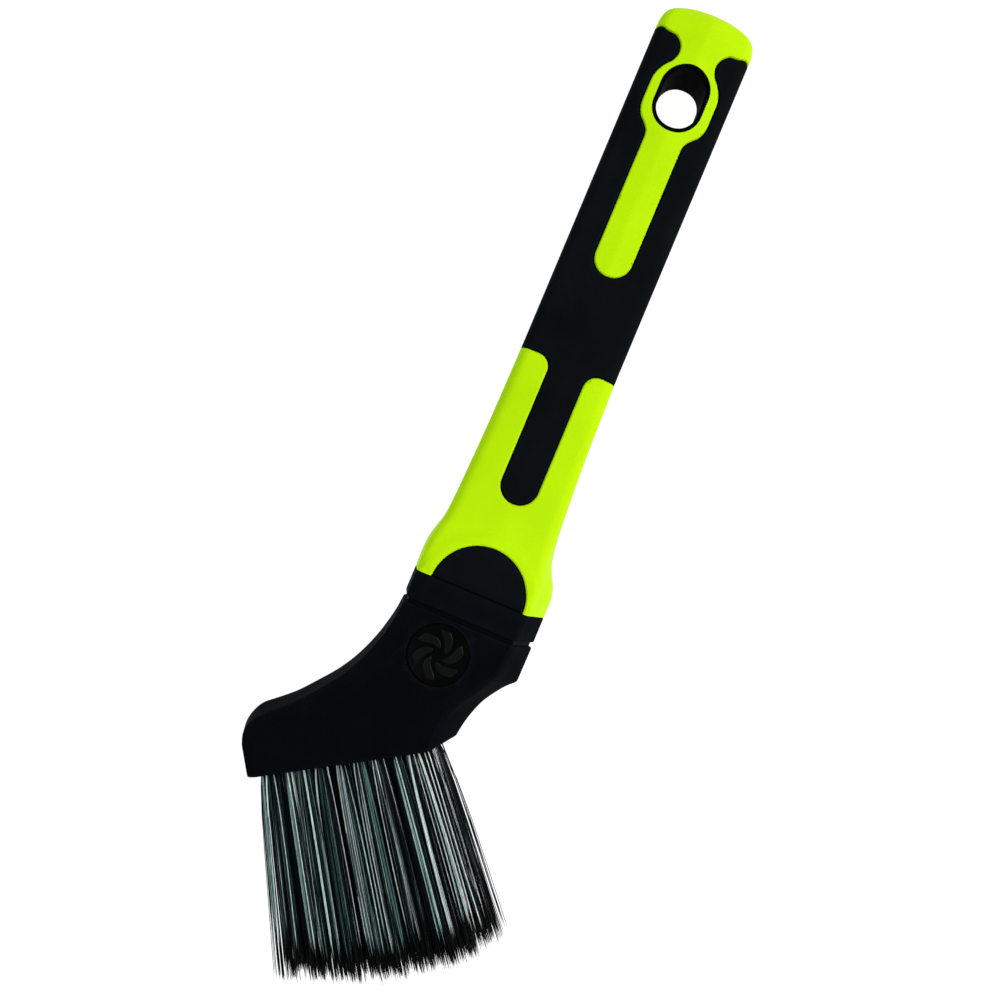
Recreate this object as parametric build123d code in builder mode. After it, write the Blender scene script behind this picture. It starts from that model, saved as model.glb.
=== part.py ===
from build123d import *
from math import cos, radians, sin, tan
import os

# ---------------------------------------------------------------- driving dimensions (mm)
mid_z = 15.0            # parting plane of the whole brush; the head's back face lies on z = 0
axis_y = -1.0           # handle centre line
feature_y = -1.2        # centre line of the colour zones on the handle
tip_x = 146.0           # crowned end of the handle
neck_x = -29.1          # joint between the handle and the collar
collar_x = -36.85       # head side of the collar
head_x = -38.15         # head side of the recessed joint band
skin = 1.8              # thickness of the soft grip skin
groove_w = 0.45         # shadow groove along every colour boundary
groove_d = 0.6

hole_x = 119.3          # hang hole centre
hole_len, hole_wid = 17.1, 11.9        # clear opening
rim_len, rim_wid = 18.8, 13.7          # liner outside

brush_angle = radians(31)              # bristle direction, from the handle axis
face_n = 66.3                          # distance of the bristle face from the origin
block_depth = 15.0
face_recess = 0.8

tuft_r = 1.5                           # tuft radius in its drilled hole
tuft_tip_r = 1.95
tuft_pitch, row_pitch = 5.0, 3.3
tuft_sink = 8.0
badge_r = 8.4
badge_x, badge_y = -48.1, 1.25

nx, ny = -cos(brush_angle), -sin(brush_angle)      # bristle direction
tx, ty = sin(brush_angle), -cos(brush_angle)       # along the bristle face


def face_pt(t, n=face_n):
    """Plan point at t along the bristle face and n out from the origin."""
    return (n * nx + t * tx, n * ny + t * ty)


# ---------------------------------------------------------------- handle sections
# x, left, right half widths, inward lean of left and right wall, shoulder height, ridge height, corner radius
stations = [
    (145.85, 3.6, 3.6, 0.3, 0.3, 3.0, 3.4, 1.6),
    (145.2, 6.9, 6.9, 0.3, 0.3, 4.3, 4.8, 2.2),
    (144.0, 10.4, 10.4, 0.3, 0.3, 5.6, 6.1, 2.8),
    (142.4, 12.75, 12.75, 0.3, 0.3, 6.7, 7.3, 3.2),
    (140.4, 13.85, 13.85, 0.3, 0.3, 7.4, 8.05, 3.4),
    (137.6, 14.25, 14.25, 0.3, 0.3, 7.9, 8.55, 3.5),
    (43.0, 14.25, 14.3, 0.3, 0.3, 7.9, 8.55, 3.5),
    (31.0, 14.35, 14.6, 0.3, 0.35, 8.05, 8.7, 3.5),
    (19.4, 14.5, 15.0, 0.3, 0.5, 8.2, 8.85, 3.5),
    (2.6, 15.0, 15.9, 0.4, 1.0, 9.0, 9.55, 3.4),
    (-8.7, 15.5, 16.8, 0.6, 1.8, 10.3, 10.75, 3.2),
    (-13.0, 15.95, 17.5, 0.8, 2.5, 11.2, 11.6, 3.0),
    (-17.2, 17.1, 19.1, 1.1, 3.8, 12.6, 12.9, 2.8),
    (-20.6, 17.8, 20.9, 1.4, 5.0, 13.6, 13.8, 2.4),
    (-24.6, 18.0, 21.6, 1.5, 5.7, 14.4, 14.55, 2.0),
    (neck_x, 17.9, 21.6, 1.5, 5.8, 14.75, 14.9, 1.8),
]


def section_points(left, right, lean_l, lean_r, shoulder, ridge, inset=0.0):
    """Eight corners of one handle section in (y, z), anticlockwise from the right wall."""
    sh, rd = shoulder - inset, ridge - inset
    a, b = right - inset, left - inset
    return [
        (axis_y - a, mid_z), (axis_y - a + lean_r, mid_z - sh), (axis_y, mid_z - rd),
        (axis_y + b - lean_l, mid_z - sh), (axis_y + b, mid_z),
        (axis_y + b - lean_l, mid_z + sh), (axis_y, mid_z + rd),
        (axis_y - a + lean_r, mid_z + sh),
    ]


def rounded(p, q, r, radius):
    """Tangent points and arc middle at corner q between p and r."""
    p, q, r = Vector(*p), Vector(*q), Vector(*r)
    a, b = (p - q).normalized(), (r - q).normalized()
    half = radians(a.get_angle(b)) / 2
    centre = q + (a + b).normalized() * (radius / sin(half))
    reach = radius / tan(half)
    return q + a * reach, centre + (q - centre).normalized() * radius, q + b * reach


def loft_handle(inset):
    """Handle body through all stations, shrunk by inset."""
    sections = []
    for x, left, right, ll, lr, sh, rd, rc in stations:
        if inset > 0 and x > 141:
            continue
        pts = section_points(left, right, ll, lr, sh, rd, inset)
        n = len(pts)
        spots = []
        for i, corner in enumerate(pts):
            if i % 2:
                spots.append([(x, v.X, v.Y) for v in rounded(pts[i - 1], corner, pts[(i + 1) % n], max(0.6, rc - inset))])
            else:
                spots.append([(x, *corner)])
        edges = []
        for i, spot in enumerate(spots):
            if len(spot) == 3:
                edges.append(Edge.make_three_point_arc(*spot))
            edges.append(Edge.make_line(spot[-1], spots[(i + 1) % n][0]))
        sections.append(Wire(edges))
    return Part() + Solid.make_loft(sections[::-1], True)


outer = loft_handle(0.0)
inner = loft_handle(skin)
shallow = loft_handle(groove_d)


# ---------------------------------------------------------------- colour zones in plan
def mirrored(pts):
    return [(x, 2 * feature_y - y) for x, y in reversed(pts)]


def up(pts):
    return [(x, feature_y + d) for x, d in pts]


lobe = [(135.4, 10.6), (134.9, 7.9), (132.8, 5.95), (130.6, 5.5), (128.3, 6.2), (126.0, 8.1), (123.6, 9.35), (121.2, 9.85)]
foot = [(114.6, 9.85), (111.2, 8.9), (108.9, 6.9), (107.3, 5.8), (105.2, 5.45)]
tip_tongue_hw, tip_tongue_end = 5.45, 65.5


def grown(pts, first, last, by):
    """Points moved by a distance to the outside of the bright zone."""
    chain = [first, *pts, last]
    out = []
    for p, q, r in zip(chain, chain[1:], chain[2:]):
        dx, dy = r[0] - p[0], r[1] - p[1]
        size = (dx * dx + dy * dy) ** 0.5
        out.append((q[0] + by * dy / size, q[1] - by * dx / size))
    return out


def tip_outline(by):
    """Bright zone round the hang hole, grown by a distance."""
    side_x, hw, end_x = 136.3 - by, tip_tongue_hw + by, tip_tongue_end - by
    knee = (tip_tongue_end + tip_tongue_hw, hw)
    lo = up(grown(lobe, (136.3, 14.0), foot[0], by))
    fo = up(grown(foot, lobe[-1], knee, by))
    side = up([(side_x, 20.0), (side_x, 14.0)])
    knee = up([knee])[0]
    with BuildSketch(mode=Mode.PRIVATE) as zone:
        with BuildLine():
            Polyline((160, feature_y + 20), *side, lo[0])
            Spline(*lo, tangents=[(-0.45, -1), (-1, 0)])
            Line(lo[-1], fo[0])
            Spline(*fo, tangents=[(-1, 0), (-1, 0)])
            Line(fo[-1], knee)
            ThreePointArc(knee, (end_x, feature_y), mirrored([knee])[0])
            Line(mirrored([knee])[0], mirrored(fo)[0])
            Spline(*mirrored(fo), tangents=[(1, 0), (1, 0)])
            Line(mirrored(fo)[-1], mirrored(lo)[0])
            Spline(*mirrored(lo), tangents=[(1, 0), (0.45, -1)])
            Polyline(mirrored(lo)[-1], *mirrored(side), (160, feature_y - 20), (160, feature_y + 20))
        make_face()
    return zone.sketch


prong_x, prong_r, tongue_end, tongue_hw = 38.8, 3.9, -2.7, 5.5
tongue_y = -1.6
with BuildSketch(mode=Mode.PRIVATE) as neck_zone:
    with BuildLine():
        Polyline((-60, -30), (-60, 30), (prong_x, 30), (prong_x, tongue_y + tongue_hw + prong_r))
        ThreePointArc(
            (prong_x, tongue_y + tongue_hw + prong_r),
            (prong_x - prong_r * (1 - cos(radians(45))), tongue_y + tongue_hw + prong_r * (1 - sin(radians(45)))),
            (prong_x - prong_r, tongue_y + tongue_hw),
        )
        Line((prong_x - prong_r, tongue_y + tongue_hw), (tongue_end + tongue_hw, tongue_y + tongue_hw))
        ThreePointArc(
            (tongue_end + tongue_hw, tongue_y + tongue_hw), (tongue_end, tongue_y), (tongue_end + tongue_hw, tongue_y - tongue_hw)
        )
        Line((tongue_end + tongue_hw, tongue_y - tongue_hw), (prong_x - prong_r, tongue_y - tongue_hw))
        ThreePointArc(
            (prong_x - prong_r, tongue_y - tongue_hw),
            (prong_x - prong_r * (1 - cos(radians(45))), tongue_y - tongue_hw - prong_r * (1 - sin(radians(45)))),
            (prong_x, tongue_y - tongue_hw - prong_r),
        )
        Polyline((prong_x, tongue_y - tongue_hw - prong_r), (prong_x, -30), (-60, -30))
    make_face()

pad_y, pad_r = -2.2, 13.35
with BuildSketch(mode=Mode.PRIVATE) as pad_zone:
    with BuildLine():
        Line((neck_x - 1, pad_y + pad_r), (neck_x, pad_y + pad_r))
        ThreePointArc((neck_x, pad_y + pad_r), (neck_x + pad_r, pad_y), (neck_x, pad_y - pad_r))
        Line((neck_x, pad_y - pad_r), (neck_x - 1, pad_y - pad_r))
        Line((neck_x - 1, pad_y - pad_r), (neck_x - 1, pad_y + pad_r))
    make_face()


def prism(sketch, z0=-5.0, z1=35.0):
    return extrude(sketch.moved(Location((0, 0, z0))), amount=z1 - z0, dir=(0, 0, 1))


tip_prism = prism(tip_outline(0))
neck_prism = prism(neck_zone.sketch)
pad_prism = prism(pad_zone.sketch)
tip_band = prism(tip_outline(groove_w)) - tip_prism
neck_band = prism(offset(neck_zone.sketch, groove_w)) - neck_prism
pad_band = pad_prism - prism(offset(pad_zone.sketch, -groove_w))

rim_prism = prism(Sketch() + Location((hole_x, feature_y)) * SlotOverall(rim_len, rim_wid))
clear_prism = prism(Sketch() + Location((hole_x, feature_y)) * SlotOverall(hole_len, hole_wid))

# ---------------------------------------------------------------- raw shapes of the handle, before their details
core_raw = (outer & tip_prism) + inner + (outer & neck_prism) - (pad_prism - inner) - rim_prism
sleeve_raw = outer - tip_prism - neck_prism - inner
sleeve_raw = sleeve_raw - (tip_band - shallow) - (neck_band - shallow)
liner_raw = (outer & rim_prism) - clear_prism
pads_raw = (outer & pad_prism) - inner - (pad_band - shallow)
pad_front_raw = pads_raw & prism(pad_zone.sketch, mid_z, 40)
pad_back_raw = pads_raw & prism(pad_zone.sketch, -10, mid_z)

# ---------------------------------------------------------------- handle body: hard core with the bright zones and the tang
tang_y, tang_w, tang_t, tang_end = -3.0, 18.0, 11.0, -54.0
with BuildPart() as handle_body:
    add(core_raw)
    with BuildSketch(Plane(origin=(neck_x + 1, tang_y, mid_z), x_dir=(0, 1, 0), z_dir=(-1, 0, 0))):
        RectangleRounded(tang_w, tang_t, 1.5)
    extrude(amount=neck_x + 1 - tang_end)

# ---------------------------------------------------------------- grip sleeve: soft black skin over the middle of the handle
with BuildPart() as grip_sleeve:
    add(sleeve_raw)

# ---------------------------------------------------------------- liner of the hang hole
with BuildPart() as hang_hole_liner:
    add(liner_raw)
    for side in (1, -1):
        with BuildSketch(Plane(origin=(hole_x, feature_y, mid_z + side * 7.35), z_dir=(0, 0, side))):
            SlotOverall(hole_len, hole_wid)
        extrude(amount=2.0, taper=-38, mode=Mode.SUBTRACT)

# ---------------------------------------------------------------- black half-round pads on the neck
with BuildPart() as neck_pad_front:
    add(pad_front_raw)
with BuildPart() as neck_pad_back:
    add(pad_back_raw)

# ---------------------------------------------------------------- collar
ring_pts = [(-22.6, 0), (-17.1, -14), (-16.4, -15), (12.2, -15), (15.4, -14), (16.9, 0), (15.4, 14), (12.2, 15), (-16.4, 15), (-17.1, 14)]
with BuildPart() as collar:
    with BuildSketch(Plane(origin=(neck_x, 0, mid_z), x_dir=(0, 1, 0), z_dir=(1, 0, 0))):
        with BuildLine():
            Polyline(*ring_pts, close=True)
        make_face()
    extrude(amount=collar_x - neck_x)
    ends = collar.faces().filter_by(Axis.X)
    chamfer(ends.edges(), 0.45)
    with BuildSketch(Plane(origin=(neck_x, tang_y, mid_z), x_dir=(0, 1, 0), z_dir=(-1, 0, 0))):
        RectangleRounded(tang_w, tang_t, 1.5)
    extrude(amount=neck_x - collar_x, mode=Mode.SUBTRACT)

# ---------------------------------------------------------------- angled head
# plan outlines at the parting plane, at the edge of the side walls and at the flat faces
heel_m, toe_m = face_pt(-83.9), face_pt(-25.3)
wall_in = dict(
    a=(head_x, 16.8), left=[(-42.9, 17.3), (-49.7, 18.8), (-54.8, 20.5), (-60.0, 22.8), (-65.1, 25.9), (-70.2, 29.9), (-75.3, 34.2), (-78.8, 37.9)],
    b=(-82.2, 41.9), heel=[(-85.5, 43.7), (-89.0, 44.44)], c=(-91.7, 43.9), d=heel_m, e=toe_m,
    right=[(-67.6, -12.75), (-63.4, -13.6), (-58.25, -15.4), (-54.8, -17.4), (-51.4, -19.9)], f=(-48.85, -22.5), g=(head_x, -22.6),
)
wall_up = dict(
    a=(head_x, 15.3), left=[(-43.1, 15.85), (-50.1, 17.35), (-55.4, 19.1), (-60.7, 21.5), (-65.9, 24.7), (-71.1, 28.7), (-76.4, 33.2), (-79.8, 36.8)],
    b=(-82.9, 39.8), heel=[(-85.6, 41.4), (-88.3, 41.8)], c=(-91.4, 40.9), d=face_pt(-81.6), e=face_pt(-31.6),
    right=[(-67.8, -6.9), (-62.4, -7.7), (-58.6, -9.3), (-54.3, -12.0), (-49.6, -14.6)], f=(-46.3, -16.3), g=(head_x, -17.1),
)
face_in = dict(
    a=(head_x, 12.2), left=[(-43.8, 12.6), (-51.3, 13.7), (-57.0, 15.4), (-62.6, 17.9), (-68.1, 21.2), (-73.6, 25.4), (-79.1, 30.3), (-82.3, 33.9)],
    b=(-84.4, 36.0), heel=[(-86.7, 37.3), (-89.0, 37.7)], c=(-91.4, 37.3), d=face_pt(-79.4), e=face_pt(-32.3),
    right=[(-67.6, -6.2), (-62.2, -7.0), (-58.2, -8.7), (-53.9, -11.4), (-49.2, -14.0)], f=(-45.9, -15.7), g=(head_x, -16.4),
)


def head_outline(z, o):
    with BuildSketch(Plane.XY.offset(z)) as sk:
        with BuildLine():
            Spline(o["a"], *o["left"], o["b"])
            Spline(o["b"], *o["heel"], o["c"])
            Line(o["c"], o["d"])
            Line(o["d"], o["e"])
            Spline(o["e"], *o["right"], o["f"])
            Line(o["f"], o["g"])
            Line(o["g"], o["a"])
        make_face()
    return sk.sketch


pocket_t0, pocket_t1 = -81.0, -28.4
pocket_hw = 11.9


def pocket_pts(by):
    """Pocket outline in its own plane, pulled in by a distance; its right corners follow the leaning side."""
    half = (pocket_t1 - pocket_t0) / 2 - by
    hw = pocket_hw - by
    return [(-half, -hw), (half - 4.1, -hw), (half, -5.4), (half, 5.4), (half - 4.1, hw), (-half, hw)]


def heel_corner(by):
    """Plan of the corner kept solid at the deep end, where the heel curves in past the pocket."""
    return [face_pt(-73.5 + 1.4 * by, 48.5), face_pt(-84.0, 59.0 + 1.4 * by), face_pt(-84.0, 48.5)]


face_plane = Plane(origin=(*face_pt((pocket_t0 + pocket_t1) / 2), mid_z), x_dir=(tx, ty, 0), z_dir=(nx, ny, 0))
with BuildPart() as pocket_tool:
    with BuildSketch(face_plane) as pocket_sk:
        Polygon(*pocket_pts(0), align=None)
        fillet(pocket_sk.vertices(), 1.5)
    extrude(amount=-(block_depth + face_recess))
    with BuildSketch(Plane.XY):
        with BuildLine():
            Polyline(*heel_corner(0), close=True)
        make_face()
    extrude(amount=2 * mid_z, mode=Mode.SUBTRACT)

with BuildPart() as head_shell:
    levels = [(0, face_in), (1, wall_up), (mid_z, wall_in), (29, wall_up), (30, face_in)]
    loft([head_outline(z, o) for z, o in levels], ruled=True)
    # recessed band next to the collar
    with BuildSketch(Plane(origin=(head_x, 0, mid_z), x_dir=(0, 1, 0), z_dir=(1, 0, 0))):
        with BuildLine():
            Polyline(*[(y + (0.75 if y < 0 else -0.75), z * 0.95) for y, z in ring_pts], close=True)
        make_face()
    extrude(amount=collar_x - head_x)
    # socket for the tang
    with BuildSketch(Plane(origin=(collar_x, tang_y, mid_z), x_dir=(0, 1, 0), z_dir=(-1, 0, 0))):
        RectangleRounded(tang_w, tang_t, 1.5)
    extrude(amount=collar_x - tang_end + 0.6, mode=Mode.SUBTRACT)
    # pocket for the bristle block
    add(pocket_tool.part, mode=Mode.SUBTRACT)
    # shallow seat for the badge
    with BuildSketch(Plane.XY.offset(2 * mid_z)):
        with Locations((badge_x, badge_y)):
            Circle(badge_r + 0.25)
    extrude(amount=-0.8, mode=Mode.SUBTRACT)

# ---------------------------------------------------------------- badge with a plain dial motif
with BuildPart() as badge_disc:
    with BuildSketch(Plane.XY.offset(2 * mid_z - 0.8)):
        with Locations((badge_x, badge_y)):
            Circle(badge_r)
    extrude(amount=0.7)
    with BuildSketch(Plane.XY.offset(2 * mid_z - 0.1)):
        with Locations((badge_x, badge_y)):
            Circle(badge_r)
            Circle(badge_r - 0.7, mode=Mode.SUBTRACT)
            with PolarLocations(4.1, 3):
                SlotOverall(4.6, 2.2)
    extrude(amount=0.3)

# ---------------------------------------------------------------- tufts, anchors and the drilled block
t_mid = (pocket_t0 + pocket_t1) / 2
face_out = face_n - face_recess


def trim(t):
    """Bristle tip distance from the origin at t on the tip line."""
    return 125.26 - 0.0042 * (t + 52.0) ** 2


rows = []
for k in range(7):
    count = 10 if k % 2 == 0 else 9
    zs = (k - 3) * row_pitch
    row = []
    for i in range(count):
        t = t_mid + (i - (count - 1) / 2) * tuft_pitch
        share = (t - pocket_t0) / (pocket_t1 - pocket_t0)
        t_tip = t - 0.8 + 10.74 * share
        z_tip = zs * 1.16
        root = Vector(*face_pt(t, face_out), mid_z + zs)
        tip = Vector(*face_pt(t_tip, trim(t_tip)), mid_z + z_tip)
        row.append((root, (tip - root).normalized(), (tip - root).length))
    # the first and last rows stop one tuft short, at the leaning side of the head
    rows.append(row[:-1] if k in (0, 6) else row)


def tuft_plane(root, direction, back=0.0):
    return Plane(origin=root - direction * back, x_dir=(0, 0, 1), z_dir=direction)


with BuildPart() as tuft_anchors:
    for row in rows:
        for root, direction, length in row:
            with BuildSketch(tuft_plane(root, direction, tuft_sink)):
                Rectangle(0.4, 2.7)
            extrude(amount=1.8)

with BuildPart() as bristle_block:
    with BuildSketch(face_plane.offset(-face_recess)) as block_sk:
        Polygon(*pocket_pts(0.05), align=None)
        fillet(block_sk.vertices(), 1.45)
    extrude(amount=-block_depth + 0.1)
    with BuildSketch(Plane.XY):
        with BuildLine():
            Polyline(*heel_corner(0.06), close=True)
        make_face()
    extrude(amount=2 * mid_z, mode=Mode.SUBTRACT)
    for row in rows:
        for root, direction, length in row:
            with BuildSketch(tuft_plane(root, direction, tuft_sink)):
                Circle(tuft_r + 0.03)
            extrude(amount=tuft_sink + 2, mode=Mode.SUBTRACT)


def tuft_row(row):
    """Solids of one row of tufts, straight in the hole and opening towards the tips."""
    solids = []
    for root, direction, length in row:
        base = tuft_plane(root, direction, tuft_sink).location
        shank = base * Pos(0, 0, tuft_sink / 2) * Cylinder(tuft_r, tuft_sink)
        slot = base * Pos(0, 0, 0.9) * Box(0.44, 2.74, 1.8)
        brush = tuft_plane(root, direction).location * Pos(0, 0, length / 2) * Cone(tuft_r, tuft_tip_r, length)
        solids.append((shank + brush) - slot)
    return solids


row_solids = [tuft_row(row) for row in rows]

with BuildPart() as tuft_row_1:
    add(row_solids[0])
with BuildPart() as tuft_row_2:
    add(row_solids[1])
with BuildPart() as tuft_row_3:
    add(row_solids[2])
with BuildPart() as tuft_row_4:
    add(row_solids[3])
with BuildPart() as tuft_row_5:
    add(row_solids[4])
with BuildPart() as tuft_row_6:
    add(row_solids[5])
with BuildPart() as tuft_row_7:
    add(row_solids[6])

# ---------------------------------------------------------------- export
handle_body.part.label = "handle_body"
grip_sleeve.part.label = "grip_sleeve"
hang_hole_liner.part.label = "hang_hole_liner"
neck_pad_front.part.label = "neck_pad_front"
neck_pad_back.part.label = "neck_pad_back"
collar.part.label = "collar"
head_shell.part.label = "head_shell"
badge_disc.part.label = "badge_disc"
bristle_block.part.label = "bristle_block"
tuft_anchors.part.label = "tuft_anchors"
tuft_row_1.part.label = "tuft_row_1"
tuft_row_2.part.label = "tuft_row_2"
tuft_row_3.part.label = "tuft_row_3"
tuft_row_4.part.label = "tuft_row_4"
tuft_row_5.part.label = "tuft_row_5"
tuft_row_6.part.label = "tuft_row_6"
tuft_row_7.part.label = "tuft_row_7"

os.makedirs("parts", exist_ok=True)
export_step(handle_body.part, "parts/handle_body.step")
export_step(grip_sleeve.part, "parts/grip_sleeve.step")
export_step(hang_hole_liner.part, "parts/hang_hole_liner.step")
export_step(neck_pad_front.part, "parts/neck_pad_front.step")
export_step(neck_pad_back.part, "parts/neck_pad_back.step")
export_step(collar.part, "parts/collar.step")
export_step(head_shell.part, "parts/head_shell.step")
export_step(badge_disc.part, "parts/badge_disc.step")
export_step(bristle_block.part, "parts/bristle_block.step")
export_step(tuft_anchors.part, "parts/tuft_anchors.step")
export_step(tuft_row_1.part, "parts/tuft_row_1.step")
export_step(tuft_row_2.part, "parts/tuft_row_2.step")
export_step(tuft_row_3.part, "parts/tuft_row_3.step")
export_step(tuft_row_4.part, "parts/tuft_row_4.step")
export_step(tuft_row_5.part, "parts/tuft_row_5.step")
export_step(tuft_row_6.part, "parts/tuft_row_6.step")
export_step(tuft_row_7.part, "parts/tuft_row_7.step")
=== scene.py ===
import math

import bmesh
import bpy
import numpy as np
from mathutils import Matrix, Vector
from mathutils.bvhtree import BVHTree
from mathutils.geometry import delaunay_2d_cdt
from mathutils.kdtree import KDTree


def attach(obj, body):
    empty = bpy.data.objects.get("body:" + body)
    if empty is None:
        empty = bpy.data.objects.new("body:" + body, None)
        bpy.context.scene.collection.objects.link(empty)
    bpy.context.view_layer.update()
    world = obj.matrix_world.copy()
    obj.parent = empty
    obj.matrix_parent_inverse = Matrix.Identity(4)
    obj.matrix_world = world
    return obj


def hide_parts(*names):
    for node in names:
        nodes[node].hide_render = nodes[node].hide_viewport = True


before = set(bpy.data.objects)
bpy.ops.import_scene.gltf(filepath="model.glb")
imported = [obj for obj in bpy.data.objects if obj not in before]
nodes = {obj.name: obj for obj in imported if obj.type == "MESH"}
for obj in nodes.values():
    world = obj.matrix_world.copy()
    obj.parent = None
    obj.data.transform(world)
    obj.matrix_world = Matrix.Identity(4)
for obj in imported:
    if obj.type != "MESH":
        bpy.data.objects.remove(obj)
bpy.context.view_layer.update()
MM = 0.001

# ------------------------------------------------------------------ camera first
MID_Z = 15.0
RIGHT = Vector((0.3875, -0.9219, 0.0)).normalized()
UP = Vector((0.9219, 0.3875, 0.0)).normalized()
cam_data = bpy.data.cameras.new("camera")
cam_data.sensor_width = 36.0
cam_data.lens = 36.0 * 290.0 / 284.8
cam_data.clip_start, cam_data.clip_end = 0.01, 20.0
cam = bpy.data.objects.new("camera", cam_data)
bpy.context.scene.collection.objects.link(cam)
rot = Matrix((RIGHT, UP, Vector((0, 0, 1)))).transposed().to_4x4()
cam.matrix_world = Matrix.Translation(Vector((-3.0, 2.0, MID_Z + 290.0)) * MM) @ rot
bpy.context.scene.camera = cam

# ------------------------------------------------------------------ small helpers
coll = bpy.context.scene.collection


def new_object(name, verts, faces, smooth=True):
    me = bpy.data.meshes.new(name)
    me.from_pydata([tuple(v) for v in verts], [], [tuple(f) for f in faces])
    me.update()
    if smooth:
        me.polygons.foreach_set("use_smooth", [True] * len(me.polygons))
    ob = bpy.data.objects.new(name, me)
    coll.objects.link(ob)
    return ob


def bake_modifiers(ob):
    """Puts the modified mesh in place of the base mesh."""
    bpy.context.view_layer.update()
    dg = bpy.context.evaluated_depsgraph_get()
    me = bpy.data.meshes.new_from_object(ob.evaluated_get(dg))
    old = ob.data
    ob.modifiers.clear()
    ob.data = me
    bpy.data.meshes.remove(old)


def boolean(ob, other, operation):
    m = ob.modifiers.new("cut", "BOOLEAN")
    m.operation = operation
    m.object = other
    m.solver = "MANIFOLD"
    bake_modifiers(ob)


def smooth_by_angle(ob, degrees):
    me = ob.data
    me.polygons.foreach_set("use_smooth", [True] * len(me.polygons))
    bm = bmesh.new()
    bm.from_mesh(me)
    lim = math.radians(degrees)
    for e in bm.edges:
        e.smooth = not (len(e.link_faces) == 2 and e.calc_face_angle(0.0) > lim)
    bm.to_mesh(me)
    bm.free()


def finish_piece(ob, mat):
    ob.data.materials.clear()
    ob.data.materials.append(mat)
    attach(ob, "root")


# ------------------------------------------------------------------ materials
def principled(name):
    mat = bpy.data.materials.new(name)
    mat.use_nodes = True
    tree = mat.node_tree
    tree.nodes.clear()
    out = tree.nodes.new("ShaderNodeOutputMaterial")
    bsdf = tree.nodes.new("ShaderNodeBsdfPrincipled")
    tree.links.new(bsdf.outputs["BSDF"], out.inputs["Surface"])
    coord = tree.nodes.new("ShaderNodeTexCoord")
    return mat, tree, bsdf, coord


def noise(tree, coord, scale, detail=4.0, rough=0.55, stretch=None):
    n = tree.nodes.new("ShaderNodeTexNoise")
    n.inputs["Scale"].default_value = scale
    n.inputs["Detail"].default_value = detail
    n.inputs["Roughness"].default_value = rough
    if stretch is None:
        tree.links.new(coord.outputs["Object"], n.inputs["Vector"])
    else:
        mp = tree.nodes.new("ShaderNodeMapping")
        mp.inputs["Rotation"].default_value = stretch[0]
        mp.inputs["Scale"].default_value = stretch[1]
        tree.links.new(coord.outputs["Object"], mp.inputs["Vector"])
        tree.links.new(mp.outputs["Vector"], n.inputs["Vector"])
    return n


def ramp(tree, src, stops):
    r = tree.nodes.new("ShaderNodeValToRGB")
    while len(r.color_ramp.elements) < len(stops):
        r.color_ramp.elements.new(0.5)
    for e, (p, c) in zip(r.color_ramp.elements, stops):
        e.position = p
        e.color = (*c, 1.0) if len(c) == 3 else c
    tree.links.new(src, r.inputs["Fac"])
    return r


def grey(v):
    return (v, v, v)


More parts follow.
